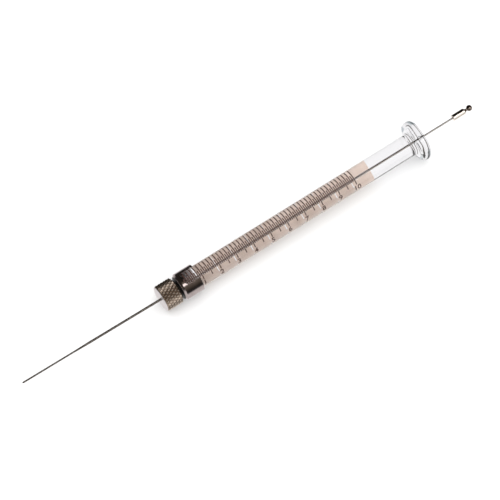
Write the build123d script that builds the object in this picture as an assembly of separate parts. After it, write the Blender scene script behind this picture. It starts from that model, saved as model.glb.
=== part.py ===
"""Ten-microlitre syringe with a removable needle, lying along X with its needle towards -X.

Every station is measured along X from the scale's zero line, which is level with the front end of the
glass, where the plunger's tip all but touches the seal when it is pushed home. All lengths are in
millimetres. The finished pieces are moved together at the end, so that the origin lies on the table
under the middle of the syringe, below the flange's lowest point.
"""

import os
from math import ceil, cos, pi, radians, sin, sqrt, tan

from build123d import *

# Glass barrel: the bore and the volume it measures set how long the scale is
volume_ul = 10.0
bore_diameter = 0.485
barrel_diameter = 6.2
glass_behind_scale = 19.88
glass_edge = 0.12
funnel_diameter = 1.1
funnel_depth = 0.45

# Finger flange, formed from the same glass
flange_overhang = 2.8
flange_thickness = 2.55
flange_neck_radius = 1.15
flange_rim_radius = 1.2

# Terminator: the notched metal sleeve and the stem that the nut screws on
sleeve_wall = 0.72
sleeve_front_wall = 1.12
sleeve_overlap = 4.58
sleeve_chamfer = 0.55
sleeve_edge = 0.1
glue_gap = 0.03
notch_width = 3.8
notch_start = 0.23
notch_corner_radius = 0.8
thread_diameter = 4.2
thread_length = 2.5
relief_depth = 0.3
relief_length = 0.5
stem_edge = 0.25

# Needle, its soldered hub and its seal
needle_length = 42.6
needle_diameter = 0.64
needle_tip_diameter = 0.47
needle_bore_diameter = 0.13
needle_thin_length = 15.7
needle_taper_length = 4.7
needle_point_length = 0.45
needle_point_diameter = 0.28
hub_diameter = 2.0
hub_flange_thickness = 0.6
solder_gap = 0.01
seal_thickness = 0.8
seal_bore_diameter = 0.2
seal_squeeze_room = 0.2

# Knurled nut
nut_diameter = 7.5
nut_front_wall = 1.88
nut_front_chamfer = 0.38
nut_gap = 0.33
nut_shoulder_length = 0.78
nut_rear_land = 0.1
nut_thread_mouth = 0.12
knurl_teeth = 24
knurl_depth = 0.32
knurl_helix_angle = 32.6

# Plunger: a ground wire with a turned button
plunger_tip_gap = 0.03
plunger_exposed = 10.72
button_diameter = 1.74
button_length = 3.65
button_edge = 0.1
button_cone_length = 0.65
waist_diameter = 0.68
waist_length = 0.35
ball_diameter = 1.7
button_socket_depth = 2.6

# Clearances, each on the radius
plunger_clearance = 0.01
stem_clearance = 0.05
thread_clearance = 0.04
hub_flange_clearance = 0.39
needle_hole_clearance = 0.1

# Stations and radii that follow from the sizes above
scale_length = volume_ul / (pi * (bore_diameter / 2) ** 2)
glass_front = 0.0
flange_rear = scale_length + glass_behind_scale + flange_thickness
flange_front = flange_rear - flange_thickness
sleeve_front = glass_front - sleeve_front_wall
sleeve_rear = glass_front + sleeve_overlap
stem_end = sleeve_front - relief_length - thread_length
seal_front = glass_front - seal_thickness
hub_flange_rear = stem_end - seal_squeeze_room
hub_flange_front = hub_flange_rear - hub_flange_thickness
nut_rear = sleeve_front - nut_gap
nut_front = hub_flange_front - nut_front_wall
needle_tip = nut_front - needle_length
button_front = flange_rear + plunger_exposed
cone_start = button_front + button_length
waist_start = cone_start + button_cone_length
ball_start = waist_start + waist_length
waist_in_ball = sqrt(ball_diameter**2 - waist_diameter**2) / 2
ball_centre = ball_start + waist_in_ball
button_end = ball_centre + ball_diameter / 2
barrel_radius = barrel_diameter / 2
flange_radius = barrel_radius + flange_overhang
sleeve_bore_radius = barrel_radius + glue_gap
sleeve_radius = sleeve_bore_radius + sleeve_wall
hub_hole_radius = needle_diameter / 2 + solder_gap
wire_radius = bore_diameter / 2 - plunger_clearance
stem_bore_radius = hub_diameter / 2 + stem_clearance
nut_thread_radius = thread_diameter / 2 + thread_clearance
hub_flange_radius = nut_thread_radius - hub_flange_clearance
nut_hole_radius = needle_diameter / 2 + needle_hole_clearance

# The whole syringe rests on its flange, with the origin under its middle
to_table = Pos(-(needle_tip + button_end) / 2, 0, flange_radius)


def turned(*outline):
    """Solid turned about the syringe's axis from a closed outline of (x, radius) points."""
    return revolve(make_face(Polyline(*outline, close=True)), Axis.X)


def drilled(start, end, radius):
    """Round hole along the axis, as the solid to take away."""
    return turned((start, 0), (end, 0), (end, radius), (start, radius))


def circular_edges(part, station, radius):
    """Edges of the part that are circles at this station and radius."""
    return [
        edge
        for edge in part.edges().filter_by(GeomType.CIRCLE)
        if abs(edge.arc_center.X - station) < 1e-4 and abs(edge.radius - radius) < 1e-4
    ]


def barrel():
    """Glass tube with its flange: the neck is a fillet, the rim is nearly a full round."""
    glass = turned(
        (glass_front, 0),
        (glass_front, barrel_radius),
        (flange_front, barrel_radius),
        (flange_front, flange_radius),
        (flange_rear, flange_radius),
        (flange_rear, 0),
    )
    glass = fillet(circular_edges(glass, flange_front, barrel_radius), flange_neck_radius)
    front_rim = circular_edges(glass, flange_front, flange_radius)
    rear_rim = circular_edges(glass, flange_rear, flange_radius)
    glass = fillet(front_rim + rear_rim, flange_rim_radius)
    glass = chamfer(circular_edges(glass, glass_front, barrel_radius), glass_edge)
    glass -= drilled(glass_front, flange_rear, bore_diameter / 2)
    funnel = turned(
        (flange_rear - funnel_depth, 0),
        (flange_rear - funnel_depth, bore_diameter / 2),
        (flange_rear, funnel_diameter / 2),
        (flange_rear, 0),
    )
    return glass - funnel


def notch():
    """Cutter for the U-shaped window: open at the sleeve's rear end, rounded inside its corners."""
    length = sleeve_rear - notch_start
    window = RectangleRounded(2 * length, notch_width, notch_corner_radius)
    return Pos(sleeve_rear, 0, 0) * extrude(window, sleeve_radius + sleeve_wall)


def terminator():
    """Sleeve, front wall and stem turned from one bar, bored for the glass and for the needle's hub."""
    thread = thread_diameter / 2
    relief = thread - relief_depth
    body = turned(
        (stem_end, 0),
        (stem_end, thread - stem_edge),
        (stem_end + stem_edge, thread),
        (stem_end + thread_length, thread),
        (stem_end + thread_length, relief),
        (sleeve_front, relief),
        (sleeve_front, sleeve_radius - sleeve_chamfer),
        (sleeve_front + sleeve_chamfer, sleeve_radius),
        (sleeve_rear - sleeve_edge, sleeve_radius),
        (sleeve_rear, sleeve_radius - sleeve_edge),
        (sleeve_rear, 0),
    )
    body -= drilled(glass_front, sleeve_rear, sleeve_bore_radius)
    body -= drilled(stem_end, glass_front, stem_bore_radius)
    return body - notch()


def knurled_bar(start, end):
    """Bar covered by a diamond knurl from one station to the other.

    Two families of V grooves, one right-handed and one left-handed, cross at points spaced evenly round
    the bar and along it. The crossings lie at the grooves' depth and the diamonds' tips at full radius,
    on alternate points of one grid, and the flanks between them are flat triangles.
    """
    crest = nut_diameter / 2
    root = nut_diameter / 2 - knurl_depth
    columns = 2 * knurl_teeth
    step = pi * nut_diameter / knurl_teeth / tan(radians(knurl_helix_angle)) / 2
    rows = ceil((end - start) / step)

    def grid_point(row, column):
        radius = crest if (row + column) % 2 == 0 else root
        angle = 2 * pi * column / columns
        return (start + row * step, radius * cos(angle), radius * sin(angle))

    flanks = []
    for row in range(rows):
        for column in range(columns):
            corners = [
                grid_point(row, column),
                grid_point(row, column + 1),
                grid_point(row + 1, column + 1),
                grid_point(row + 1, column),
            ]
            # the crease joins the two crossings, so it starts from whichever corner is one
            first = 1 if (row + column) % 2 == 0 else 0
            a, b, c, d = corners[first:] + corners[:first]
            flanks += [Face(Wire.make_polygon([a, b, c])), Face(Wire.make_polygon([a, c, d]))]
    ends = [
        Face(Wire.make_polygon([grid_point(row, column) for column in range(columns)]))
        for row in (0, rows)
    ]
    return Solid(Shell(flanks + ends))


def needle_nut():
    """Knurled nut: its thread takes the stem, and its inner shoulder presses on the hub's flange."""
    outer = nut_diameter / 2
    land = nut_thread_radius + nut_thread_mouth + nut_rear_land
    shoulder_slope = nut_shoulder_length / (outer - land)
    # the blank's two cones run on past the diamonds' tips, so that its cylinder leaves the tips sharp
    blank = turned(
        (nut_front, 0),
        (nut_front, outer - nut_front_chamfer),
        (nut_front + nut_front_chamfer + knurl_depth, outer + knurl_depth),
        (nut_rear - nut_shoulder_length - shoulder_slope * knurl_depth, outer + knurl_depth),
        (nut_rear, land),
        (nut_rear, 0),
    )
    body = blank & knurled_bar(nut_front, nut_rear)
    body -= drilled(hub_flange_front, nut_rear, nut_thread_radius)
    body -= turned(
        (nut_rear - nut_thread_mouth, 0),
        (nut_rear - nut_thread_mouth, nut_thread_radius),
        (nut_rear, nut_thread_radius + nut_thread_mouth),
        (nut_rear, 0),
    )
    return body - drilled(nut_front, hub_flange_front, nut_hole_radius)


def needle():
    """Drawn tube: a cone at the tip, a thin length, a taper, then full size back to the seal."""
    tip = needle_tip_diameter / 2
    full = needle_diameter / 2
    taper_start = needle_tip + needle_thin_length
    tube = turned(
        (needle_tip, 0),
        (needle_tip, needle_point_diameter / 2),
        (needle_tip + needle_point_length, tip),
        (taper_start, tip),
        (taper_start + needle_taper_length, full),
        (seal_front, full),
        (seal_front, 0),
    )
    return tube - drilled(needle_tip, seal_front, needle_bore_diameter / 2)


def needle_hub():
    """Ferrule soldered on the needle: its barrel fills the stem, its flange is trapped by the nut."""
    return turned(
        (hub_flange_front, hub_hole_radius),
        (hub_flange_front, hub_flange_radius),
        (hub_flange_rear, hub_flange_radius),
        (hub_flange_rear, hub_diameter / 2),
        (seal_front, hub_diameter / 2),
        (seal_front, hub_hole_radius),
    )


def needle_seal():
    """Soft washer between the hub and the ground end of the glass."""
    return turned(
        (seal_front, seal_bore_diameter / 2),
        (seal_front, hub_diameter / 2),
        (glass_front, hub_diameter / 2),
        (glass_front, seal_bore_diameter / 2),
    )


def plunger_wire():
    """Ground wire from just behind the seal to the bottom of the button's socket."""
    return drilled(plunger_tip_gap, button_front + button_socket_depth, wire_radius)


def plunger_button():
    """Turned button: a cylinder, a cone down to the waist, and the ball."""
    outer = button_diameter / 2
    waist = waist_diameter / 2
    grip = turned(
        (button_front, 0),
        (button_front, outer - button_edge),
        (button_front + button_edge, outer),
        (cone_start, outer),
        (waist_start, waist),
        (ball_centre, waist),
        (ball_centre, 0),
    )
    ball = Pos(ball_centre, 0, 0) * Sphere(ball_diameter / 2)
    socket = drilled(button_front, button_front + button_socket_depth, wire_radius + solder_gap)
    return grip + ball - socket


pieces = {
    "barrel": barrel,
    "terminator": terminator,
    "needle_nut": needle_nut,
    "needle": needle,
    "needle_hub": needle_hub,
    "needle_seal": needle_seal,
    "plunger_wire": plunger_wire,
    "plunger_button": plunger_button,
}

os.makedirs("parts", exist_ok=True)
for node, make in pieces.items():
    export_step(to_table * make(), f"parts/{node}.step")

print(f"scale length {scale_length:.2f} mm, zero line at x = {to_table.position.X:.3f} mm")
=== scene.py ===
from math import atan, atan2, cos, degrees, pi, radians, sin, sqrt

import bpy
from mathutils import Matrix, Vector


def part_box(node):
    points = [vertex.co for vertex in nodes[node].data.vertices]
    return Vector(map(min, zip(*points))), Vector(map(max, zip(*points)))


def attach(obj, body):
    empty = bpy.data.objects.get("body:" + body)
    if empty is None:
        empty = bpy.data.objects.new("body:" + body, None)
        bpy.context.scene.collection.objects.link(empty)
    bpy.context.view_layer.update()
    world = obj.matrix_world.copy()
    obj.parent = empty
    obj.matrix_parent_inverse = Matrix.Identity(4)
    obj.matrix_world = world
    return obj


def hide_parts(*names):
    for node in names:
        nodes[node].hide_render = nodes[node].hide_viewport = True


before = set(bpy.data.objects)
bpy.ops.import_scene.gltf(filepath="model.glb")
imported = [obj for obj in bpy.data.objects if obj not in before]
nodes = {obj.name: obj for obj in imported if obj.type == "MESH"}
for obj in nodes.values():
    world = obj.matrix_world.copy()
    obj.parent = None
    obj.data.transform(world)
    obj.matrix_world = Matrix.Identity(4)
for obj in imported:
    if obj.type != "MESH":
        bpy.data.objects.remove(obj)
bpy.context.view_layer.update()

mm = 0.001
mergeWithin = 0.0005 * mm
scaleLength = 54.1334    # mm from the zero line to the last one

# The syringe lies along X
# Stations run along it in millimetres from the zero line, at the glass's front end
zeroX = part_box("barrel")[0].x
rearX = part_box("barrel")[1].x
axisZ = (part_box("barrel")[0].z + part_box("barrel")[1].z) / 2
flangeRadius = (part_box("barrel")[1].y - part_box("barrel")[0].y) / 2 / mm


def stationOf(x):
    return (x - zeroX) / mm


def placeAt(station, radius=0.0, around=0.0):
    # around is in degrees from the top, positive towards -Y, where the numerals are
    turn = radians(around)
    return Vector((zeroX + station * mm, -radius * mm * sin(turn), axisZ + radius * mm * cos(turn)))


# Selecting and editing
def deselectAll():
    if bpy.context.mode != "OBJECT":
        bpy.ops.object.mode_set(mode="OBJECT")
    bpy.ops.object.select_all(action="DESELECT")


def activate(piece):
    deselectAll()
    piece.select_set(True)
    bpy.context.view_layer.objects.active = piece


def startEdit(piece):
    activate(piece)
    bpy.ops.object.mode_set(mode="EDIT")


def nameNew(name):
    piece = bpy.context.active_object
    piece.name = name
    piece.data.name = name
    return piece


def settle(piece):
    activate(piece)
    bpy.ops.object.transform_apply(location=True, rotation=True, scale=True)


def applyModifiers(piece):
    activate(piece)
    for modifier in list(piece.modifiers):
        bpy.ops.object.modifier_apply(modifier=modifier.name)


def smooth(piece, degreesKept=30):
    activate(piece)
    bpy.ops.object.shade_smooth_by_angle(angle=radians(degreesKept))


def mergeAll():
    bpy.ops.mesh.select_all(action="SELECT")
    bpy.ops.mesh.remove_doubles(threshold=mergeWithin)


def finishEdit():
    # the mesh merged, its faces turned outwards
    mergeAll()
    bpy.ops.mesh.normals_make_consistent(inside=False)
    bpy.ops.object.mode_set(mode="OBJECT")


# Shapes
def drawOutline(name, outline):
    # one vertex, then each point of the outline extruded from the one before
    deselectAll()
    bpy.ops.mesh.primitive_plane_add(size=mm, location=placeAt(*outline[0]))
    piece = nameNew(name)
    settle(piece)
    startEdit(piece)
    bpy.ops.mesh.select_all(action="SELECT")
    bpy.ops.mesh.merge(type="CENTER")
    here = placeAt(*outline[0])
    for point in outline[1:]:
        there = placeAt(*point)
        bpy.ops.mesh.extrude_region_move(TRANSFORM_OT_translate={"value": there - here})
        here = there
    return piece


def drawFace(name, outline):
    # the outline closed and filled
    piece = drawOutline(name, outline + outline[:1])
    mergeAll()
    bpy.ops.mesh.select_all(action="SELECT")
    bpy.ops.mesh.edge_face_add()
    bpy.ops.mesh.select_all(action="SELECT")
    return piece


def turnOnLathe(name, outline, steps):
    # a closed outline spun once round the axis
    piece = drawOutline(name, outline + outline[:1])
    bpy.ops.mesh.select_all(action="SELECT")
    bpy.ops.mesh.spin(steps=steps, angle=2 * pi, center=placeAt(0), axis=(1, 0, 0))
    finishEdit()
    return piece


def spinFurther(steps, angle):
    # what is selected swept round the axis, towards -Y from the top
    bpy.ops.mesh.spin(steps=steps, angle=radians(angle), center=placeAt(0), axis=(-1, 0, 0))


def ringBand(name, start, end, inner, outer, fromDegrees, toDegrees, steps):
    # part of a tube's wall between two angles, as a closed thin plate
    corners = [(start, inner), (end, inner), (end, outer), (start, outer)]
    piece = drawFace(name, [(station, radius, fromDegrees) for station, radius in corners])
    spinFurther(steps, toDegrees - fromDegrees)
    finishEdit()
    return piece


def arc(station, radius, size, startDegrees, endDegrees, steps):
    # points on a quarter or so of a circle, in station and radius
    swing = [radians(startDegrees + (endDegrees - startDegrees) * step / steps)
             for step in range(steps + 1)]
    return [(station + size * cos(angle), radius + size * sin(angle)) for angle in swing]


def joinPieces(name, parts):
    deselectAll()
    for part in parts:
        part.select_set(True)
    bpy.context.view_layer.objects.active = parts[0]
    bpy.ops.object.join()
    return nameNew(name)


def copyAlong(piece, station):
    # a copy with its own mesh, moved along the syringe
    twin = piece.copy()
    twin.data = piece.data.copy()
    twin.data.transform(Matrix.Translation((station * mm, 0, 0)))
    bpy.context.scene.collection.objects.link(twin)
    return twin


# Colours and nodes
def toLinear(hexColour):
    channels = [int(hexColour[i:i + 2], 16) / 255 for i in (1, 3, 5)]
    linear = [c / 12.92 if c <= 0.04045 else ((c + 0.055) / 1.055) ** 2.4 for c in channels]
    return (*linear, 1.0)


def addNode(tree, kind, settings=None, inputs=None, stops=()):
    # an input is a value or another node's output, and stops are a ramp's positions and colours
    # a Mix node's inputs go by number: 2 and 3 are its two values, 6 and 7 its two colours
    node = tree.nodes.new(kind)
    for name, value in (settings or {}).items():
        setattr(node, name, value)
    for name, value in (inputs or {}).items():
        socket = node.inputs[name]
        if isinstance(value, bpy.types.NodeSocket):
            tree.links.new(value, socket)
        else:
            socket.default_value = value
    while stops and len(node.color_ramp.elements) < len(stops):
        node.color_ramp.elements.new(0.5)
    for index, (position, colour) in enumerate(stops):
        node.color_ramp.elements[index].position = position
        node.color_ramp.elements[index].color = toLinear(colour)
    return node


def startMaterial(name):
    material = bpy.data.materials.new(name)
    material.use_nodes = True
    material.node_tree.nodes.clear()
    return material, material.node_tree


def finishMaterial(tree, surface):
    addNode(tree, "ShaderNodeOutputMaterial", inputs={"Surface": surface})


def coat(piece, material):
    piece.data.materials.clear()
    piece.data.materials.append(material)


def fromAxis(tree):
    # object coordinates with their Z counted from the syringe's axis
    place = addNode(tree, "ShaderNodeTexCoord")
    centre = addNode(tree, "ShaderNodeMapping",
                     inputs={"Vector": place.outputs["Object"], "Location": (0, 0, -axisZ)})
    return centre.outputs[0]


def radiusAt(tree):
    # distance from the syringe's axis
    flat = addNode(tree, "ShaderNodeVectorMath", {"operation": "MULTIPLY"},
                   {0: fromAxis(tree), 1: (0, 1, 1)})
    length = addNode(tree, "ShaderNodeVectorMath", {"operation": "LENGTH"}, {0: flat.outputs[0]})
    return length.outputs["Value"]


print("helpers ready")

# Floor: a pale board, tipped so that the flange's rim and the nut both lie on it
floorLook = {
    "size": 6.0,             # metres
    "colour": "#C0C0C0",
    "lift": 0.11,            # light for the eye alone: the board is white away from the shadow
    "mirrored": 0.95,        # the board's brightness in metal
    "throughGlass": 0.5,     # and the light that glass adds to it
    "litFrom": 12.0,         # mm from the syringe: metal and glass show the board lit up to here
    "litTo": 24.0,           # and unlit past here
    "mirrorShift": 0.5,      # mm by which metal's lit strip lies nearer to -Y
    "unlit": 0.04,
    "unlitInGlass": 0.35,
    "nutRadius": 3.75,       # mm: the nut's rim, where it touches the board
    "nutEdge": 0.38,         # mm behind its face
    "rimInset": 1.8,         # mm in front of the flange's rear
}


def makeFloor():
    look = floorLook
    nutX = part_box("needle_nut")[0].x + look["nutEdge"] * mm
    rimX = rearX - look["rimInset"] * mm
    slope = atan((flangeRadius - look["nutRadius"]) * mm / (rimX - nutX))
    deselectAll()
    bpy.ops.mesh.primitive_plane_add(
        size=look["size"], location=(rimX, 0, axisZ - flangeRadius * mm), rotation=(0, slope, 0))
    floor = nameNew("floor")
    # matt board paint: plain pale grey, with no shine of its own
    material, tree = startMaterial("paintedBoard")
    path = addNode(tree, "ShaderNodeLightPath")
    paint = addNode(tree, "ShaderNodeBsdfDiffuse", inputs={"Color": toLinear(look["colour"])})
    lift = addNode(tree, "ShaderNodeEmission", inputs={"Strength": look["lift"]})
    inGlass = addNode(tree, "ShaderNodeEmission", inputs={"Strength": look["throughGlass"]})
    nothing = addNode(tree, "ShaderNodeEmission", inputs={"Strength": 0.0})
    mirrored = addNode(tree, "ShaderNodeEmission", inputs={"Strength": look["mirrored"]})
    direct = addNode(tree, "ShaderNodeMixShader", inputs={
        0: path.outputs["Is Camera Ray"], 1: nothing.outputs[0], 2: lift.outputs[0]})
    extra = addNode(tree, "ShaderNodeMixShader", inputs={
        0: path.outputs["Is Transmission Ray"], 1: direct.outputs[0], 2: inGlass.outputs[0]})
    board = addNode(tree, "ShaderNodeAddShader", inputs={0: paint.outputs[0], 1: extra.outputs[0]})
    lit = addNode(tree, "ShaderNodeMixShader", inputs={
        0: path.outputs["Is Glossy Ray"], 1: board.outputs[0], 2: mirrored.outputs[0]})
    # metal and glass show the board as lit only close to the syringe
    place = addNode(tree, "ShaderNodeTexCoord").outputs["Object"]
    apart = addNode(tree, "ShaderNodeSeparateXYZ", inputs={0: place})
    shifted = addNode(tree, "ShaderNodeMath", {"operation": "MULTIPLY_ADD"}, {
        0: path.outputs["Is Glossy Ray"], 1: look["mirrorShift"] * mm, 2: apart.outputs["Y"]})
    side = addNode(tree, "ShaderNodeMath", {"operation": "ABSOLUTE"}, {0: shifted.outputs[0]})
    far = addNode(tree, "ShaderNodeMapRange", {"interpolation_type": "SMOOTHSTEP"}, {
        "Value": side.outputs[0], "From Min": look["litFrom"] * mm,
        "From Max": look["litTo"] * mm})
    bent = addNode(tree, "ShaderNodeMath", {"operation": "MAXIMUM"},
                   {0: path.outputs["Is Glossy Ray"], 1: path.outputs["Is Transmission Ray"]})
    share = addNode(tree, "ShaderNodeMath", {"operation": "MULTIPLY"},
                    {0: far.outputs[0], 1: bent.outputs[0]})
    dim = addNode(tree, "ShaderNodeMapRange", inputs={
        "Value": path.outputs["Is Transmission Ray"],
        "To Min": look["unlit"], "To Max": look["unlitInGlass"]})
    unlit = addNode(tree, "ShaderNodeEmission", inputs={"Strength": dim.outputs[0]})
    whole = addNode(tree, "ShaderNodeMixShader",
                    inputs={0: share.outputs[0], 1: lit.outputs[0], 2: unlit.outputs[0]})
    finishMaterial(tree, whole.outputs[0])
    coat(floor, material)


# Barrel: thick-walled glass tube, its finger flange pressed from the same glass
# Lengths are in millimetres
glassTube = {
    "steps": 144,
    "radius": 3.1,
    "bore": 0.2425,
    "frontEdge": 0.12,
    "neckRound": 1.15,
    "rimRound": 1.2,
    "flangeThickness": 2.55,
    "funnelRadius": 0.55,
    "funnelDepth": 0.45,
    "roundSteps": 16,
    "rearSteps": 8,
    "unevenness": 0.5,       # the flange is pressed by hand from softened glass
    "unevenSize": 4.6,
    "unevenFrom": 1.6,       # radius up to which the flange stays true
    "paintedReflectionAround": 114.0,      # degrees from the top: where two greyer patches of painted dark reflection lie
    "paintedReflectionFrom": 4.6,          # reach from the axis over which a painted reflection patch comes in
    "jawTo": 5.2,
    "paintedReflectionRagged": 2.0,
    "paintedReflectionGrain": 1.1,
    "paintedReflectionRear": (1.9, 1.2),   # and the same in front of the flange's rear
    "paintedReflectionTint": "#8C999F",
    "lineStretch": 0.04,     # drawing lines run along the tube
    "lineSize": 0.8,
    "lineStrength": 0.02,
    "lineDepth": 0.05,
    "tint": "#FEFDFF",
    "ior": 1.47,
    "roughness": 0.012,
    "shadowTint": "#F1F1F3",
    "flangeShadow": "#A6A8AD",
    "flangeFrom": (4.0, 2.6),    # in front of the flange's rear, where its shadow comes in
}


def glassMaterial():
    # borosilicate tube, drawn and fire polished: clear, faintly lilac, with long drawing lines
    look = glassTube
    material, tree = startMaterial("borosilicateGlass")
    place = addNode(tree, "ShaderNodeTexCoord").outputs["Object"]
    apart = addNode(tree, "ShaderNodeSeparateXYZ", inputs={0: place})
    stretch = addNode(tree, "ShaderNodeMapping",
                      inputs={"Vector": place, "Scale": (look["lineStretch"], 1, 1)})
    lines = addNode(tree, "ShaderNodeTexNoise", inputs={
        "Vector": stretch.outputs[0], "Scale": 1 / (look["lineSize"] * mm), "Detail": 1.0})
    relief = addNode(tree, "ShaderNodeBump", inputs={
        "Strength": look["lineStrength"], "Distance": look["lineDepth"] * mm,
        "Height": lines.outputs[0]})
    # painted dark reflection: two greyer patches on opposite sides of the rim, in its rear half
    turn = radians(look["paintedReflectionAround"])
    reach = addNode(tree, "ShaderNodeVectorMath", {"operation": "DOT_PRODUCT"},
                    {0: fromAxis(tree), 1: (0, -sin(turn), cos(turn))})
    span = addNode(tree, "ShaderNodeMath", {"operation": "ABSOLUTE"}, {0: reach.outputs["Value"]})
    lumps = addNode(tree, "ShaderNodeTexNoise", inputs={
        "Vector": place, "Scale": 1 / (look["paintedReflectionGrain"] * mm), "Detail": 1.0})
    ragged = addNode(tree, "ShaderNodeMath", {"operation": "MULTIPLY_ADD"}, {
        0: lumps.outputs[0], 1: look["paintedReflectionRagged"] * mm, 2: span.outputs[0]})
    paintedReflectionEdge = addNode(tree, "ShaderNodeMapRange", {"interpolation_type": "SMOOTHSTEP"}, {
        "Value": ragged.outputs[0],
        "From Min": look["paintedReflectionFrom"] * mm, "From Max": look["jawTo"] * mm})
    rearHalf = addNode(tree, "ShaderNodeMapRange", {"interpolation_type": "SMOOTHSTEP"}, {
        "Value": apart.outputs["X"], "From Min": rearX - look["paintedReflectionRear"][0] * mm,
        "From Max": rearX - look["paintedReflectionRear"][1] * mm})
    paintedReflectionShare = addNode(tree, "ShaderNodeMath", {"operation": "MULTIPLY"},
                     {0: paintedReflectionEdge.outputs[0], 1: rearHalf.outputs[0]})
    # the glass is tinted grey in the patches of painted dark reflection
    tint = addNode(tree, "ShaderNodeMix", {"data_type": "RGBA"}, {
        0: paintedReflectionShare.outputs[0], 6: toLinear(look["tint"]), 7: toLinear(look["paintedReflectionTint"])})
    body = addNode(tree, "ShaderNodeBsdfPrincipled", inputs={
        "Base Color": tint.outputs[2], "Roughness": look["roughness"],
        "IOR": look["ior"], "Transmission Weight": 1.0, "Normal": relief.outputs[0]})
    # light passes to the enamel and the board, and the thick uneven flange holds back more of it
    disc = addNode(tree, "ShaderNodeMapRange", inputs={
        "Value": apart.outputs["X"], "From Min": rearX - look["flangeFrom"][0] * mm,
        "From Max": rearX - look["flangeFrom"][1] * mm})
    shade = addNode(tree, "ShaderNodeMix", {"data_type": "RGBA"}, {
        0: disc.outputs[0], 6: toLinear(look["shadowTint"]), 7: toLinear(look["flangeShadow"])})
    clear = addNode(tree, "ShaderNodeBsdfTransparent", inputs={"Color": shade.outputs[2]})
    path = addNode(tree, "ShaderNodeLightPath")
    both = addNode(tree, "ShaderNodeMixShader", inputs={
        0: path.outputs["Is Shadow Ray"], 1: body.outputs[0], 2: clear.outputs[0]})
    finishMaterial(tree, both.outputs[0])
    return material


def makeBarrel():
    size = glassTube
    front = stationOf(zeroX)
    rear = stationOf(rearX)
    neck = rear - size["flangeThickness"]
    rim = size["rimRound"]
    rimCentre = flangeRadius - rim
    outline = [(front, size["bore"]), (front, size["radius"] - size["frontEdge"])]
    outline += [(front + size["frontEdge"], size["radius"])]
    outline += arc(neck - size["neckRound"], size["radius"] + size["neckRound"],
                   size["neckRound"], -90, 0, size["roundSteps"])
    outline += arc(neck + rim, rimCentre, rim, 180, 90, size["roundSteps"])
    outline += arc(rear - rim, rimCentre, rim, 90, 0, size["roundSteps"])
    flat = rimCentre - size["funnelRadius"]
    outline += [(rear, size["funnelRadius"] + flat * (1 - step / size["rearSteps"]))
                for step in range(1, size["rearSteps"] + 1)]
    outline += [(rear - size["funnelDepth"], size["bore"])]
    barrel = turnOnLathe("glassBarrel", outline, size["steps"])
    # only the flange is uneven, more so away from the bore
    flange = barrel.vertex_groups.new(name="flange")
    for vertex in barrel.data.vertices:
        fromBore = sqrt(vertex.co.y ** 2 + (vertex.co.z - axisZ) ** 2) / mm - size["unevenFrom"]
        behind = stationOf(vertex.co.x) - (neck - size["neckRound"])
        weight = min(1, max(0, behind / size["neckRound"])) * min(1, max(0, fromBore))
        flange.add([vertex.index], weight, "REPLACE")
    lumps = bpy.data.textures.new("pressedGlass", "CLOUDS")
    lumps.noise_scale = size["unevenSize"] * mm
    lumps.noise_depth = 0
    lumps.noise_basis = "IMPROVED_PERLIN"
    uneven = barrel.modifiers.new("uneven", "DISPLACE")
    uneven.texture = lumps
    uneven.texture_coords = "LOCAL"
    uneven.vertex_group = "flange"
    uneven.strength = size["unevenness"] * mm
    uneven.mid_level = 0.5
    applyModifiers(barrel)
    smooth(barrel)
    coat(barrel, glassMaterial())
    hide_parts("barrel")
    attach(barrel, "barrel")


# Enamel fired on the tube's back: the pale ground that the scale is read against
# It is slotted at each microlitre, and lengths are in millimetres
enamel = {
    "start": 5.2,
    "end": 60.35,
    "pitch": scaleLength / 10,
    "gap": 0.24,             # a slot's width where it starts
    "narrowGap": 0.12,       # and past slotMiddle
    "halfWidth": 58.0,       # degrees either side of the back
    "slotStart": 13.5,       # degrees past the back
    "slotMiddle": 25.0,
    "inside": 0.03,          # how deep it lies in the glass
    "proud": 0.015,
    "steps": (40, 6, 18),    # round each of its three parts
    "light": "#E6D4C5",
    "dark": "#DBC8B8",
    "cloudSize": 2.4,
    "grainSize": 0.12,
    "grainStrength": 0.15,
    "grainDepth": 0.01,
    "roughness": 0.45,
}


def enamelMaterial():
    # fired ceramic enamel: dense greige, a slightly uneven coat with an eggshell gloss
    look = enamel
    material, tree = startMaterial("firedEnamel")
    place = addNode(tree, "ShaderNodeTexCoord").outputs["Object"]
    clouds = addNode(tree, "ShaderNodeTexNoise", inputs={
        "Vector": place, "Scale": 1 / (look["cloudSize"] * mm), "Detail": 4.0})
    colour = addNode(tree, "ShaderNodeValToRGB", inputs={"Fac": clouds.outputs[0]},
                     stops=[(0.35, look["dark"]), (0.65, look["light"])])
    grain = addNode(tree, "ShaderNodeTexNoise", inputs={
        "Vector": place, "Scale": 1 / (look["grainSize"] * mm), "Detail": 2.0})
    relief = addNode(tree, "ShaderNodeBump", inputs={
        "Strength": look["grainStrength"], "Distance": look["grainDepth"] * mm,
        "Height": grain.outputs[0]})
    body = addNode(tree, "ShaderNodeBsdfPrincipled", inputs={
        "Base Color": colour.outputs["Color"], "Roughness": look["roughness"], "IOR": 1.5,
        "Normal": relief.outputs[0]})
    finishMaterial(tree, body.outputs[0])
    return material


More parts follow.
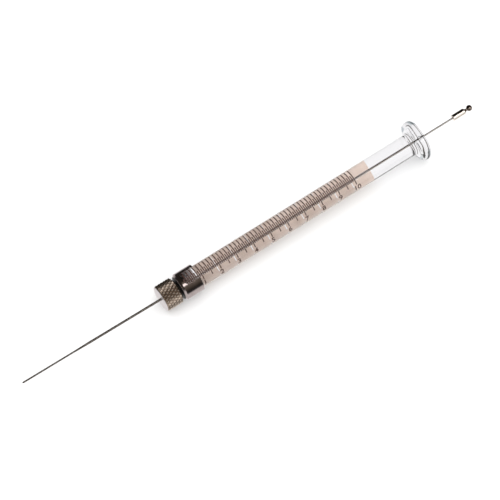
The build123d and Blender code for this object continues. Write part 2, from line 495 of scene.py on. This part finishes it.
def makeEnamel():
    # one sheet, spun in three turns, with the slots' faces taken out, then given its thickness
    size = enamel
    marks = [mark * size["pitch"] for mark in range(2, 11)]
    edges = [half * side for half in (size["gap"] / 2, size["narrowGap"] / 2) for side in (-1, 1)]
    slotEdges = [mark + edge for mark in marks for edge in edges]
    stations = sorted([size["start"], size["end"]] + slotEdges)
    outer = glassTube["radius"] + size["proud"]
    turns = [180 - size["halfWidth"], 180 + size["slotStart"],
             180 + size["slotMiddle"], 180 + size["halfWidth"]]
    backing = drawOutline("enamelBacking", [(station, outer, turns[0]) for station in stations])
    bpy.ops.mesh.select_all(action="SELECT")
    for low, high, steps in zip(turns, turns[1:], size["steps"]):
        spinFurther(steps, high - low)
    mergeAll()
    # faces picked in object mode are kept as picked only in face mode
    bpy.ops.mesh.select_mode(type="FACE")
    bpy.ops.mesh.select_all(action="DESELECT")
    bpy.ops.object.mode_set(mode="OBJECT")
    for face in backing.data.polygons:
        station = stationOf(face.center.x)
        around = degrees(atan2(-face.center.y, face.center.z - axisZ)) % 360
        half = (size["gap"] if around < turns[2] else size["narrowGap"]) / 2
        slotted = min(abs(station - mark) for mark in marks) < half
        face.select = around > turns[1] and slotted
    startEdit(backing)
    bpy.ops.mesh.delete(type="FACE")
    bpy.ops.mesh.select_mode(type="VERT")
    finishEdit()
    body = backing.modifiers.new("body", "SOLIDIFY")
    body.thickness = (size["inside"] + size["proud"]) * mm
    body.offset = -1
    applyModifiers(backing)
    smooth(backing)
    coat(backing, enamelMaterial())
    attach(backing, "barrel")


# Scale: brown ceramic ink fired on the tube's front, with lengths in millimetres
scaleInk = {
    "pitch": scaleLength / 100,  # one line for each 0.1 microlitre
    "lines": 101,
    "lineWidth": 0.3,
    "thickness": 0.012,
    "longFrom": -44.0,           # every second line starts here, in degrees from the top
    "shortFrom": -2.0,
    "shortTo": 33.0,
    "halfTo": 53.0,              # every fifth line ends here
    "steps": 24,
    "colour": "#3A231B",
    "thin": "#563A2F",
    "speckSize": 0.35,
    "roughness": 0.6,
    "numeralSize": 2.25,
    "numeralAround": 74.0,
    "numeralSink": 0.02,         # how deep a numeral lies in the glass
    "numeralCuts": 3,
    "numeralSteps": 4,           # along each of a numeral's curves
    "numeralMerge": 0.02,
    "numeralBold": 0.045,
}


def inkMaterial():
    # screened ceramic ink: brown, matt, a little thinner where the screen lifted
    look = scaleInk
    material, tree = startMaterial("firedInk")
    place = addNode(tree, "ShaderNodeTexCoord").outputs["Object"]
    specks = addNode(tree, "ShaderNodeTexNoise", inputs={
        "Vector": place, "Scale": 1 / (look["speckSize"] * mm), "Detail": 3.0})
    colour = addNode(tree, "ShaderNodeValToRGB", inputs={"Fac": specks.outputs[0]},
                     stops=[(0.35, look["colour"]), (0.75, look["thin"])])
    body = addNode(tree, "ShaderNodeBsdfPrincipled", inputs={
        "Base Color": colour.outputs["Color"], "Roughness": look["roughness"], "IOR": 1.5})
    finishMaterial(tree, body.outputs[0])
    return material


def makeScale():
    size = scaleInk
    inner = glassTube["radius"] - size["thickness"] / 2
    outer = glassTube["radius"] + size["thickness"] / 2
    half = size["lineWidth"] / 2
    models = {}
    for low in (size["longFrom"], size["shortFrom"]):
        for high in (size["shortTo"], size["halfTo"]):
            models[low, high] = ringBand("scaleLine", -half, half, inner, outer, low, high,
                                         size["steps"])
    lines = []
    for mark in range(size["lines"]):
        low = size["shortFrom"] if mark % 2 else size["longFrom"]
        high = size["shortTo"] if mark % 5 else size["halfTo"]
        lines.append(copyAlong(models[low, high], mark * size["pitch"]))
    for model in models.values():
        bpy.data.objects.remove(model)
    marks = joinPieces("scaleLines", lines)
    smooth(marks)
    coat(marks, inkMaterial())
    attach(marks, "barrel")


def makeNumerals():
    # one numeral a microlitre, read with the needle to the left
    # each is cut flat, with a unit for a millimetre, and then wrapped on the glass
    size = scaleInk
    numerals = []
    outer = glassTube["radius"] + size["thickness"] / 2
    for mark in range(1, 11):
        deselectAll()
        bpy.ops.object.text_add()
        numeral = nameNew("numeral" + str(mark))
        numeral.data.body = str(mark)
        numeral.data.size = size["numeralSize"]
        numeral.data.offset = size["numeralBold"]
        numeral.data.resolution_u = size["numeralSteps"]
        numeral.data.align_x = "CENTER"
        numeral.data.align_y = "CENTER"
        bpy.ops.object.convert(target="MESH")
        startEdit(numeral)
        bpy.ops.mesh.select_all(action="SELECT")
        bpy.ops.mesh.remove_doubles(threshold=size["numeralMerge"])
        bpy.ops.mesh.dissolve_degenerate(threshold=size["numeralMerge"])
        bpy.ops.mesh.quads_convert_to_tris()
        bpy.ops.mesh.subdivide(number_cuts=size["numeralCuts"])
        bpy.ops.object.mode_set(mode="OBJECT")
        for vertex in numeral.data.vertices:
            around = size["numeralAround"] - degrees(vertex.co.y / glassTube["radius"])
            vertex.co = placeAt(mark * 10 * size["pitch"] + vertex.co.x, outer, around)
        body = numeral.modifiers.new("body", "SOLIDIFY")
        body.thickness = (size["thickness"] + size["numeralSink"]) * mm
        body.offset = -1
        applyModifiers(numeral)
        numerals.append(numeral)
    figures = joinPieces("scaleNumerals", numerals)
    coat(figures, inkMaterial())
    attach(figures, "barrel")


# Turned and ground metals, with the pitch and depth of the tool's rings in millimetres
metals = {
    "turnedNickelPlate": {
        "light": "#B8ABA9", "dark": "#A89B98", "roughness": 0.16, "pitch": 0.05, "depth": 0.002},
    "groundStainlessSteel": {
        "light": "#8C857F", "dark": "#746D67", "roughness": 0.25, "pitch": 0.04, "depth": 0.001},
    "turnedBrass": {
        "light": "#D9B676", "dark": "#BF9A58", "roughness": 0.22, "pitch": 0.05, "depth": 0.002},
}
metalGrain = {
    "ringStretch": 0.03,     # the rings run round the axis
    "ringStrength": 0.5,
    "mottleSize": 1.6,
    "mottleRange": (0.3, 0.7),
    "roughnessRange": (0.8, 1.25),
}

# Sleeve's bore: matt, with painted shade: dark at its front end, lighter towards its mouth
sleeveBore = {
    "radius": 3.3,
    "edge": 0.1,
    "deepTo": 1.2,           # stations
    "clearFrom": 3.4,
    "deep": "#1A1412",
    "clear": "#B4ABA7",
    "roughness": 0.5,
}


def turnedMetal(name, bore=None):
    # turned or ground bar: fine rings round the axis, and a faint mottle left by handling
    # nickel plate is a warm pale mirror, ground steel greyer and duller, and brass yellow
    look = metals[name]
    low, high = metalGrain["mottleRange"]
    bright, muted = [look["roughness"] * factor for factor in metalGrain["roughnessRange"]]
    stretch = metalGrain["ringStretch"]
    material, tree = startMaterial(name)
    place = addNode(tree, "ShaderNodeTexCoord").outputs["Object"]
    squash = addNode(tree, "ShaderNodeMapping",
                     inputs={"Vector": place, "Scale": (1, stretch, stretch)})
    rings = addNode(tree, "ShaderNodeTexNoise", inputs={
        "Vector": squash.outputs[0], "Scale": 1 / (look["pitch"] * mm), "Detail": 2.0})
    mottle = addNode(tree, "ShaderNodeTexNoise", inputs={
        "Vector": place, "Scale": 1 / (metalGrain["mottleSize"] * mm), "Detail": 3.0})
    colour = addNode(tree, "ShaderNodeValToRGB", inputs={"Fac": mottle.outputs[0]},
                     stops=[(low, look["dark"]), (high, look["light"])]).outputs["Color"]
    rough = addNode(tree, "ShaderNodeMapRange", inputs={
        "Value": mottle.outputs[0], "From Min": low, "From Max": high,
        "To Min": bright, "To Max": muted}).outputs[0]
    metal = 1.0
    if bore:
        metal = addNode(tree, "ShaderNodeMapRange", inputs={
            "Value": radiusAt(tree), "From Min": bore["radius"] * mm,
            "From Max": (bore["radius"] + bore["edge"]) * mm}).outputs[0]
        apart = addNode(tree, "ShaderNodeSeparateXYZ", inputs={0: place})
        # painted shade: the bore's colour darkens towards its front end
        deep = addNode(tree, "ShaderNodeMapRange", inputs={
            "Value": apart.outputs["X"], "From Min": placeAt(bore["deepTo"]).x,
            "From Max": placeAt(bore["clearFrom"]).x})
        boreShade = addNode(tree, "ShaderNodeValToRGB", inputs={"Fac": deep.outputs[0]},
                         stops=[(0.0, bore["deep"]), (1.0, bore["clear"])])
        colour = addNode(tree, "ShaderNodeMix", {"data_type": "RGBA"},
                         {0: metal, 6: boreShade.outputs["Color"], 7: colour}).outputs[2]
        rough = addNode(tree, "ShaderNodeMix", {"data_type": "FLOAT"},
                        {0: metal, 2: bore["roughness"], 3: rough}).outputs[0]
    relief = addNode(tree, "ShaderNodeBump", inputs={
        "Strength": metalGrain["ringStrength"], "Distance": look["depth"] * mm,
        "Height": rings.outputs[0]})
    body = addNode(tree, "ShaderNodeBsdfPrincipled", inputs={
        "Base Color": colour, "Metallic": metal, "Roughness": rough, "Normal": relief.outputs[0]})
    finishMaterial(tree, body.outputs[0])
    return material


# Plunger's wire: painted shade, darker and browner inside the barrel, lighter towards the flange
wireLook = {
    "shaded": ("#877970", "#A09389"),
    "unshaded": ("#A19C97", "#B5B0AB"),
    "unshadedOver": 6.0,        # mm in front of the flange's rear
    "driftSize": 3.0,
    "shadedRoughness": 0.5,
    "unshadedRoughness": 0.24,
}


def wireMaterial():
    # ground steel wire: its front part, inside the barrel, is painted darker and browner as shade
    look = wireLook
    material, tree = startMaterial("shadedSteelWire")
    place = addNode(tree, "ShaderNodeTexCoord").outputs["Object"]
    apart = addNode(tree, "ShaderNodeSeparateXYZ", inputs={0: place})
    drift = addNode(tree, "ShaderNodeTexNoise", inputs={
        "Vector": place, "Scale": 1 / (look["driftSize"] * mm), "Detail": 3.0})
    share = addNode(tree, "ShaderNodeMapRange", inputs={
        "Value": apart.outputs["X"], "From Min": rearX - look["unshadedOver"] * mm,
        "From Max": rearX})
    # painted shade inside the barrel, and the unshaded colour behind the flange
    shaded, unshaded = [addNode(tree, "ShaderNodeValToRGB", inputs={"Fac": drift.outputs[0]},
                           stops=[(0.3, dark), (0.7, light)])
                   for dark, light in (look["shaded"], look["unshaded"])]
    colour = addNode(tree, "ShaderNodeMix", {"data_type": "RGBA"}, {
        0: share.outputs[0], 6: shaded.outputs["Color"], 7: unshaded.outputs["Color"]})
    rough = addNode(tree, "ShaderNodeMix", {"data_type": "FLOAT"}, {
        0: share.outputs[0], 2: look["shadedRoughness"], 3: look["unshadedRoughness"]})
    body = addNode(tree, "ShaderNodeBsdfPrincipled", inputs={
        "Base Color": colour.outputs[2], "Metallic": 1.0, "Roughness": rough.outputs[0]})
    finishMaterial(tree, body.outputs[0])
    return material


# Clamping nut: lengths are in millimetres
knurlLook = {
    "grooveRadius": 3.43,
    "tipRadius": 3.75,
    "groove": "#8E7C6F",
    "flank": "#C6B6A8",
    "tip": "#F0E6DC",
    "face": "#E4DCDC",
    "faceDepth": (0.05, 0.12),
    "roughness": 0.4,
}


def knurlMaterial():
    # nickel-plated brass, diamond knurled: painted highlight on the tips, and brown painted shade
    # down in the grooves
    look = knurlLook
    material, tree = startMaterial("knurledNickel")
    place = addNode(tree, "ShaderNodeTexCoord").outputs["Object"]
    apart = addNode(tree, "ShaderNodeSeparateXYZ", inputs={0: place})
    height = addNode(tree, "ShaderNodeMapRange", inputs={
        "Value": radiusAt(tree),
        "From Min": look["grooveRadius"] * mm, "From Max": look["tipRadius"] * mm})
    # painted light by radius: dark grooves as painted shade, bright tips as painted highlight
    knurl = addNode(tree, "ShaderNodeValToRGB", inputs={"Fac": height.outputs[0]},
                    stops=[(0.0, look["groove"]), (0.5, look["flank"]), (1.0, look["tip"])])
    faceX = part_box("needle_nut")[0].x
    behind = addNode(tree, "ShaderNodeMapRange", inputs={
        "Value": apart.outputs["X"], "From Min": faceX + look["faceDepth"][0] * mm,
        "From Max": faceX + look["faceDepth"][1] * mm})
    colour = addNode(tree, "ShaderNodeMix", {"data_type": "RGBA"}, {
        0: behind.outputs[0], 6: toLinear(look["face"]), 7: knurl.outputs["Color"]})
    body = addNode(tree, "ShaderNodeBsdfPrincipled", inputs={
        "Base Color": colour.outputs[2], "Metallic": 1.0, "Roughness": look["roughness"]})
    finishMaterial(tree, body.outputs[0])
    return material


# Stem thread: a fine ridge wound on the terminator's stem, in step with the nut's travel
# Lengths are in millimetres
stemThread = {
    "pitch": 0.5,
    "root": 2.0,
    "crest": 2.13,
    "flank": 0.19,
    "runOut": 0.2,
    "stemRear": -1.62,       # station where the threaded part ends
    "steps": 48,
}


def makeThread(metal):
    size = stemThread
    front = stationOf(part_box("terminator")[0].x) + size["runOut"]
    thread = drawFace("stemThread", [
        (front, size["root"]), (front + size["flank"], size["crest"]),
        (front + 2 * size["flank"], size["root"])])
    bpy.ops.object.mode_set(mode="OBJECT")
    # the winding runs about the syringe's axis
    thread.location = placeAt(0)
    thread.data.transform(Matrix.Translation(-placeAt(0)))
    wind = thread.modifiers.new("wind", "SCREW")
    wind.axis = "X"
    wind.angle = 2 * pi
    wind.screw_offset = size["pitch"] * mm
    wind.iterations = int((size["stemRear"] - front) / size["pitch"])
    wind.steps = size["steps"]
    wind.render_steps = size["steps"]
    applyModifiers(thread)
    settle(thread)
    startEdit(thread)
    mergeAll()
    # both ends of the ridge are closed
    bpy.ops.mesh.select_all(action="DESELECT")
    bpy.ops.mesh.select_non_manifold()
    bpy.ops.mesh.edge_face_add()
    finishEdit()
    smooth(thread)
    coat(thread, metal)
    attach(thread, "barrel")


# Plunger's button: lengths are in millimetres
buttonLook = {
    "polished": ("#E9DFD4", "#F4EBE1"),
    "muted": ("#7C6F66", "#94887E"),
    "neckFrom": 3.65,        # behind the button's front end
    "neckOver": 0.2,
    "mottleSize": 0.8,
    "roughness": 0.18,
}


def buttonMaterial():
    # turned stainless steel in lit and shaded copies: painted lighter on the grip, and painted
    # darker and brownish as shade on neck and ball
    look = buttonLook
    material, tree = startMaterial("turnedStainlessSteel")
    place = addNode(tree, "ShaderNodeTexCoord").outputs["Object"]
    apart = addNode(tree, "ShaderNodeSeparateXYZ", inputs={0: place})
    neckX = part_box("plunger_button")[0].x + look["neckFrom"] * mm
    mottle = addNode(tree, "ShaderNodeTexNoise", inputs={
        "Vector": place, "Scale": 1 / (look["mottleSize"] * mm), "Detail": 3.0})
    # painted light: the grip lighter, the neck and ball darker as painted shade
    polished, muted = [addNode(tree, "ShaderNodeValToRGB", inputs={"Fac": mottle.outputs[0]},
                              stops=[(0.3, dark), (0.7, light)])
                      for dark, light in (look["polished"], look["muted"])]
    behind = addNode(tree, "ShaderNodeMapRange", inputs={
        "Value": apart.outputs["X"], "From Min": neckX,
        "From Max": neckX + look["neckOver"] * mm})
    colour = addNode(tree, "ShaderNodeMix", {"data_type": "RGBA"}, {
        0: behind.outputs[0], 6: polished.outputs["Color"], 7: muted.outputs["Color"]})
    body = addNode(tree, "ShaderNodeBsdfPrincipled", inputs={
        "Base Color": colour.outputs[2], "Metallic": 1.0, "Roughness": look["roughness"]})
    finishMaterial(tree, body.outputs[0])
    return material


# Seal: a washer skived from fluoropolymer rod
sealLook = {
    "light": "#E9E9E4",
    "dark": "#DCDCD6",
    "mottleSize": 0.5,       # mm
    "roughness": 0.4,
}


def sealMaterial():
    # skived fluoropolymer: waxy white, with a slight mottle
    look = sealLook
    material, tree = startMaterial("skivedFluoropolymer")
    place = addNode(tree, "ShaderNodeTexCoord").outputs["Object"]
    mottle = addNode(tree, "ShaderNodeTexNoise", inputs={
        "Vector": place, "Scale": 1 / (look["mottleSize"] * mm), "Detail": 3.0})
    colour = addNode(tree, "ShaderNodeValToRGB", inputs={"Fac": mottle.outputs[0]},
                     stops=[(0.3, look["dark"]), (0.7, look["light"])])
    body = addNode(tree, "ShaderNodeBsdfPrincipled", inputs={
        "Base Color": colour.outputs["Color"], "Roughness": look["roughness"], "IOR": 1.38})
    finishMaterial(tree, body.outputs[0])
    return material


# Needle: a drawn tube, bent a little by use, with lengths in millimetres
needleTube = {
    "steps": 48,
    "full": 0.32,            # radii
    "thin": 0.235,
    "bore": 0.065,
    "point": 0.14,
    "pointLength": 0.45,
    "thinLength": 15.7,
    "taperLength": 4.7,
    "lean": 0.72,            # degrees
    "leanFrom": 0.25,        # in front of the nut
    "leanMargin": 0.01,      # leaves the bend's own ring where it is
}


def makeNeedle(steel):
    size = needleTube
    tip = stationOf(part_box("needle")[0].x)
    rear = stationOf(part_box("needle")[1].x)
    thinEnd = tip + size["thinLength"]
    bend = stationOf(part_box("needle_nut")[0].x) - size["leanFrom"]
    outline = [(tip, size["bore"]), (tip, size["point"]), (tip + size["pointLength"], size["thin"]),
               (thinEnd, size["thin"]), (thinEnd + size["taperLength"], size["full"]),
               (bend, size["full"]), (rear, size["full"]), (rear, size["bore"]),
               (bend, size["bore"])]
    needle = turnOnLathe("needleTube", outline, size["steps"])
    # the part in front of the nut is selected and turned about the bend
    for vertex in needle.data.vertices:
        vertex.select = stationOf(vertex.co.x) < bend - size["leanMargin"]
    startEdit(needle)
    bpy.ops.transform.rotate(value=radians(size["lean"]), orient_axis="Z", orient_type="GLOBAL",
                             center_override=placeAt(bend))
    bpy.ops.object.mode_set(mode="OBJECT")
    smooth(needle)
    coat(needle, steel)
    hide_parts("needle")
    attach(needle, "needle")


def makeMetalParts():
    plated = turnedMetal("turnedNickelPlate", sleeveBore)
    steel = turnedMetal("groundStainlessSteel")
    brass = turnedMetal("turnedBrass")
    coat(nodes["terminator"], plated)
    makeThread(plated)
    coat(nodes["plunger_button"], buttonMaterial())
    coat(nodes["needle_nut"], knurlMaterial())
    makeNeedle(steel)
    coat(nodes["plunger_wire"], wireMaterial())
    coat(nodes["needle_hub"], brass)
    coat(nodes["needle_seal"], sealMaterial())


# Light: one wide soft box overhead, and a dim room round it, with lengths in metres
lightLook = {
    "boxLength": 0.9,
    "boxWidth": 1.1,
    "boxHeight": 0.55,
    "boxTilt": 8.0,          # degrees from upright, towards -Y
    "power": 4.6,
    "stripWidth": 0.34,      # the bright part of the box, the only part that metal shows
    "stripTilt": 29.0,
    "stripLevel": 2.3,
    "room": "#FFFFFF",
    "roomLevel": 1.35,
    "dusk": "#FFF0DC",
    "duskLevel": 0.2,        # what metal sees of the room, high on the numerals' side
    "darkLevel": 0.03,       # and low down, and on the other side
    "fallOver": (0.05, 0.72),    # heights on the world's unit sphere from darkLevel to duskLevel
    "glassLevel": 0.3,       # what glass shows of the room
    "cardSize": 0.12,        # a white card beside the button
    "cardPlace": (0.1, -0.075, 0.045),
    "cardAim": 0.067,        # along X, on the syringe's axis
    "cardPower": 0.045,
    "flagSize": (0.16, 0.12),
    "flagColour": "#0C0C0C",
    "flagTilt": 56.0,        # degrees from overhead, away from the numerals' side
    "flagDistance": 0.05,
    "flagAlong": 0.1,
}


def placeLamp(name, shape, power, place, turn):
    lamp = bpy.data.lights.new(name, "AREA")
    lamp.shape = shape
    lamp.energy = power
    piece = bpy.data.objects.new(name, lamp)
    piece.location = place
    piece.rotation_euler = turn
    bpy.context.scene.collection.objects.link(piece)
    return piece


def overheadLamp(name, width, tiltDegrees, power):
    tilt = radians(tiltDegrees)
    height = lightLook["boxHeight"]
    piece = placeLamp(name, "RECTANGLE", power, (0, -height * sin(tilt), height * cos(tilt)),
                      (-tilt, 0, 0))
    piece.data.size = lightLook["boxLength"]
    piece.data.size_y = width
    return piece


def makeLights():
    look = lightLook
    box = overheadLamp("softBox", look["boxWidth"], look["boxTilt"], look["power"])
    box.visible_glossy = False
    box.visible_transmission = False
    stripPower = look["stripLevel"] * pi * look["boxLength"] * look["stripWidth"]
    strip = overheadLamp("strip", look["stripWidth"], look["stripTilt"], stripPower)
    strip.visible_diffuse = False
    strip.visible_transmission = False
    place = Vector(look["cardPlace"])
    aim = Vector((look["cardAim"], 0, axisZ)) - place
    card = placeLamp("whiteCard", "SQUARE", look["cardPower"], place,
                     aim.to_track_quat("-Z", "Y").to_euler())
    card.data.size = look["cardSize"]


def makeFlag():
    # black felt that only metal shows: soft, and so dark that no weave is seen
    look = lightLook
    lean = radians(look["flagTilt"])
    reach = look["flagDistance"]
    deselectAll()
    bpy.ops.mesh.primitive_plane_add(
        size=1, location=(look["flagAlong"], reach * sin(lean), axisZ + reach * cos(lean)),
        rotation=(-lean, 0, 0))
    flag = nameNew("blackFlag")
    flag.scale = (*look["flagSize"], 1)
    material, tree = startMaterial("blackFelt")
    cloth = addNode(tree, "ShaderNodeBsdfDiffuse",
                    inputs={"Color": toLinear(look["flagColour"])})
    finishMaterial(tree, cloth.outputs[0])
    coat(flag, material)
    flag.visible_camera = False
    flag.visible_diffuse = False
    flag.visible_transmission = False
    flag.visible_shadow = False


def makeRoom():
    look = lightLook
    world = bpy.data.worlds.new("room")
    bpy.context.scene.world = world
    world.use_nodes = True
    tree = world.node_tree
    tree.nodes.clear()
    path = addNode(tree, "ShaderNodeLightPath")
    place = addNode(tree, "ShaderNodeTexCoord")
    apart = addNode(tree, "ShaderNodeSeparateXYZ", inputs={0: place.outputs["Generated"]})
    fall = addNode(tree, "ShaderNodeMapRange", inputs={
        "Value": apart.outputs["Z"],
        "From Min": look["fallOver"][0], "From Max": look["fallOver"][1],
        "To Min": look["darkLevel"], "To Max": look["duskLevel"]})
    numeralsSide = addNode(tree, "ShaderNodeMath", {"operation": "LESS_THAN"},
                           {0: apart.outputs["Y"], 1: 0.0})
    inMetal = addNode(tree, "ShaderNodeMath", {"operation": "MULTIPLY"},
                      {0: numeralsSide.outputs[0], 1: path.outputs["Is Glossy Ray"]})
    rest = addNode(tree, "ShaderNodeMapRange", inputs={
        "Value": path.outputs["Is Glossy Ray"],
        "To Min": look["glassLevel"], "To Max": look["darkLevel"]})
    dusk = addNode(tree, "ShaderNodeMix", {"data_type": "FLOAT"},
                   {0: inMetal.outputs[0], 2: rest.outputs[0], 3: fall.outputs[0]})
    # light on its way to a matt surface, also through the glass, comes from the whole room
    lighting = addNode(tree, "ShaderNodeMath", {"operation": "GREATER_THAN"},
                       {0: path.outputs["Diffuse Depth"], 1: 0.5})
    level = addNode(tree, "ShaderNodeMix", {"data_type": "FLOAT"},
                    {0: lighting.outputs[0], 2: dusk.outputs[0], 3: look["roomLevel"]})
    tone = addNode(tree, "ShaderNodeMix", {"data_type": "RGBA"}, {
        0: lighting.outputs[0], 6: toLinear(look["dusk"]), 7: toLinear(look["room"])})
    dim = addNode(tree, "ShaderNodeBackground",
                  inputs={"Color": tone.outputs[2], "Strength": level.outputs[0]})
    white = addNode(tree, "ShaderNodeBackground", inputs={"Strength": 1.0})
    both = addNode(tree, "ShaderNodeMixShader", inputs={
        0: path.outputs["Is Camera Ray"], 1: dim.outputs[0], 2: white.outputs[0]})
    addNode(tree, "ShaderNodeOutputWorld", inputs={"Surface": both.outputs[0]})


# Camera: a long lens over the near side, the plunger's end turned away from it
cameraView = {
    "awayTilt": 12.5,        # degrees between the syringe and the picture plane
    "sideTilt": 24.0,        # degrees from straight above the scale, towards the numerals
    "screenTurn": 31.85,     # slope of the syringe in the picture
    "distance": 0.771,       # metres to the zero line's plane
    "pixelsPerMm": 3.802,
    "zeroAlong": -76.35,     # pixels from the picture's centre to the zero line, along the syringe
    "zeroAcross": -5.15,
    "pictureWidth": 500,
    "sensor": 36.0,
    "clipEnd": 20.0,         # metres
}


def makeCamera():
    view = cameraView
    away = radians(view["awayTilt"])
    side = radians(view["sideTilt"])
    turn = radians(view["screenTurn"])
    back = Vector((-sin(away), -cos(away) * sin(side), cos(away) * cos(side)))
    along = (Vector((1, 0, 0)) + sin(away) * back) / cos(away)
    across = along.cross(back)
    right = cos(turn) * along + sin(turn) * across
    up = sin(turn) * along - cos(turn) * across
    shift = mm / view["pixelsPerMm"]
    place = placeAt(0) + view["distance"] * back
    place -= view["zeroAlong"] * shift * along + view["zeroAcross"] * shift * across
    pixels = view["pixelsPerMm"] * view["distance"] / mm
    lens = bpy.data.cameras.new("camera")
    lens.sensor_width = view["sensor"]
    lens.lens = pixels * view["sensor"] / view["pictureWidth"]
    lens.clip_end = view["clipEnd"]
    camera = bpy.data.objects.new("camera", lens)
    camera.matrix_world = Matrix((right, up, back)).transposed().to_4x4()
    camera.matrix_world.translation = place
    bpy.context.scene.collection.objects.link(camera)
    bpy.context.scene.camera = camera


makeCamera()
makeFloor()
makeLights()
makeFlag()
makeRoom()
print("camera, floor and lights placed")
makeBarrel()
makeEnamel()
makeScale()
makeNumerals()
print("glass barrel, enamel and scale made")
makeMetalParts()
print("metal parts finished")
bpy.context.scene.view_settings.view_transform = "Standard"
